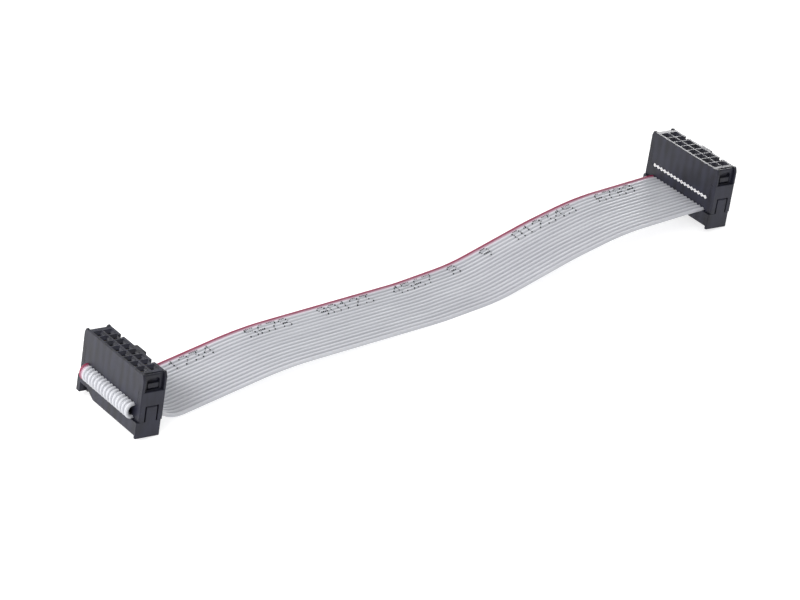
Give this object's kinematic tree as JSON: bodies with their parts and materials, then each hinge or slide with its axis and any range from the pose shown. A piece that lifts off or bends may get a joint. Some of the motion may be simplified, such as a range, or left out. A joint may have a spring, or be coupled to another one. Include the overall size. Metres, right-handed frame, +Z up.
{
  "type": "ribbon cable",
  "caption": "Flat grey ribbon cable with a red edge wire and a dark keyed socket pressed on each end, its ends folded back through the strain reliefs.",
  "frame": {"origin": "on the floor, under the middle of the two sockets' common box", "axes": "+X along the ribbon from the left socket to the right one, +Y along the contact rows towards conductor 1, +Z up; each socket leans 10 degrees towards +X on its rear bottom edge"},
  "size_m": [0.1687, 0.025, 0.0159],
  "materials": {
    "ribbon_jacket": "satin light grey flexible vinyl",
    "conductor": "bare copper strands, cut ends only visible",
    "socket_plastic": "fine matt moulded charcoal plastic",
    "contact": "stamped and plated spring alloy"
  },
  "bodies": {
    "root": {"ribbon_jacket": "ribbon_jacket", "conductor_01": "conductor", "conductor_02": "conductor", "conductor_03": "conductor", "conductor_04": "conductor", "conductor_05": "conductor", "conductor_06": "conductor", "conductor_07": "conductor", "conductor_08": "conductor", "conductor_09": "conductor", "conductor_10": "conductor", "conductor_11": "conductor", "conductor_12": "conductor", "conductor_13": "conductor", "conductor_14": "conductor", "conductor_15": "conductor", "conductor_16": "conductor", "left_housing": "socket_plastic", "left_cover": "socket_plastic", "left_strain_relief": "socket_plastic", "right_housing": "socket_plastic", "right_cover": "socket_plastic", "right_strain_relief": "socket_plastic", "left_contact_01": "contact", "left_contact_02": "contact", "left_contact_03": "contact", "left_contact_04": "contact", "left_contact_05": "contact", "left_contact_06": "contact", "left_contact_07": "contact", "left_contact_08": "contact", "left_contact_09": "contact", "left_contact_10": "contact", "left_contact_11": "contact", "left_contact_12": "contact", "left_contact_13": "contact", "left_contact_14": "contact", "left_contact_15": "contact", "left_contact_16": "contact", "right_contact_01": "contact", "right_contact_02": "contact", "right_contact_03": "contact", "right_contact_04": "contact", "right_contact_05": "contact", "right_contact_06": "contact", "right_contact_07": "contact", "right_contact_08": "contact", "right_contact_09": "contact", "right_contact_10": "contact", "right_contact_11": "contact", "right_contact_12": "contact", "right_contact_13": "contact", "right_contact_14": "contact", "right_contact_15": "contact", "right_contact_16": "contact"}
  },
  "joints": []
}
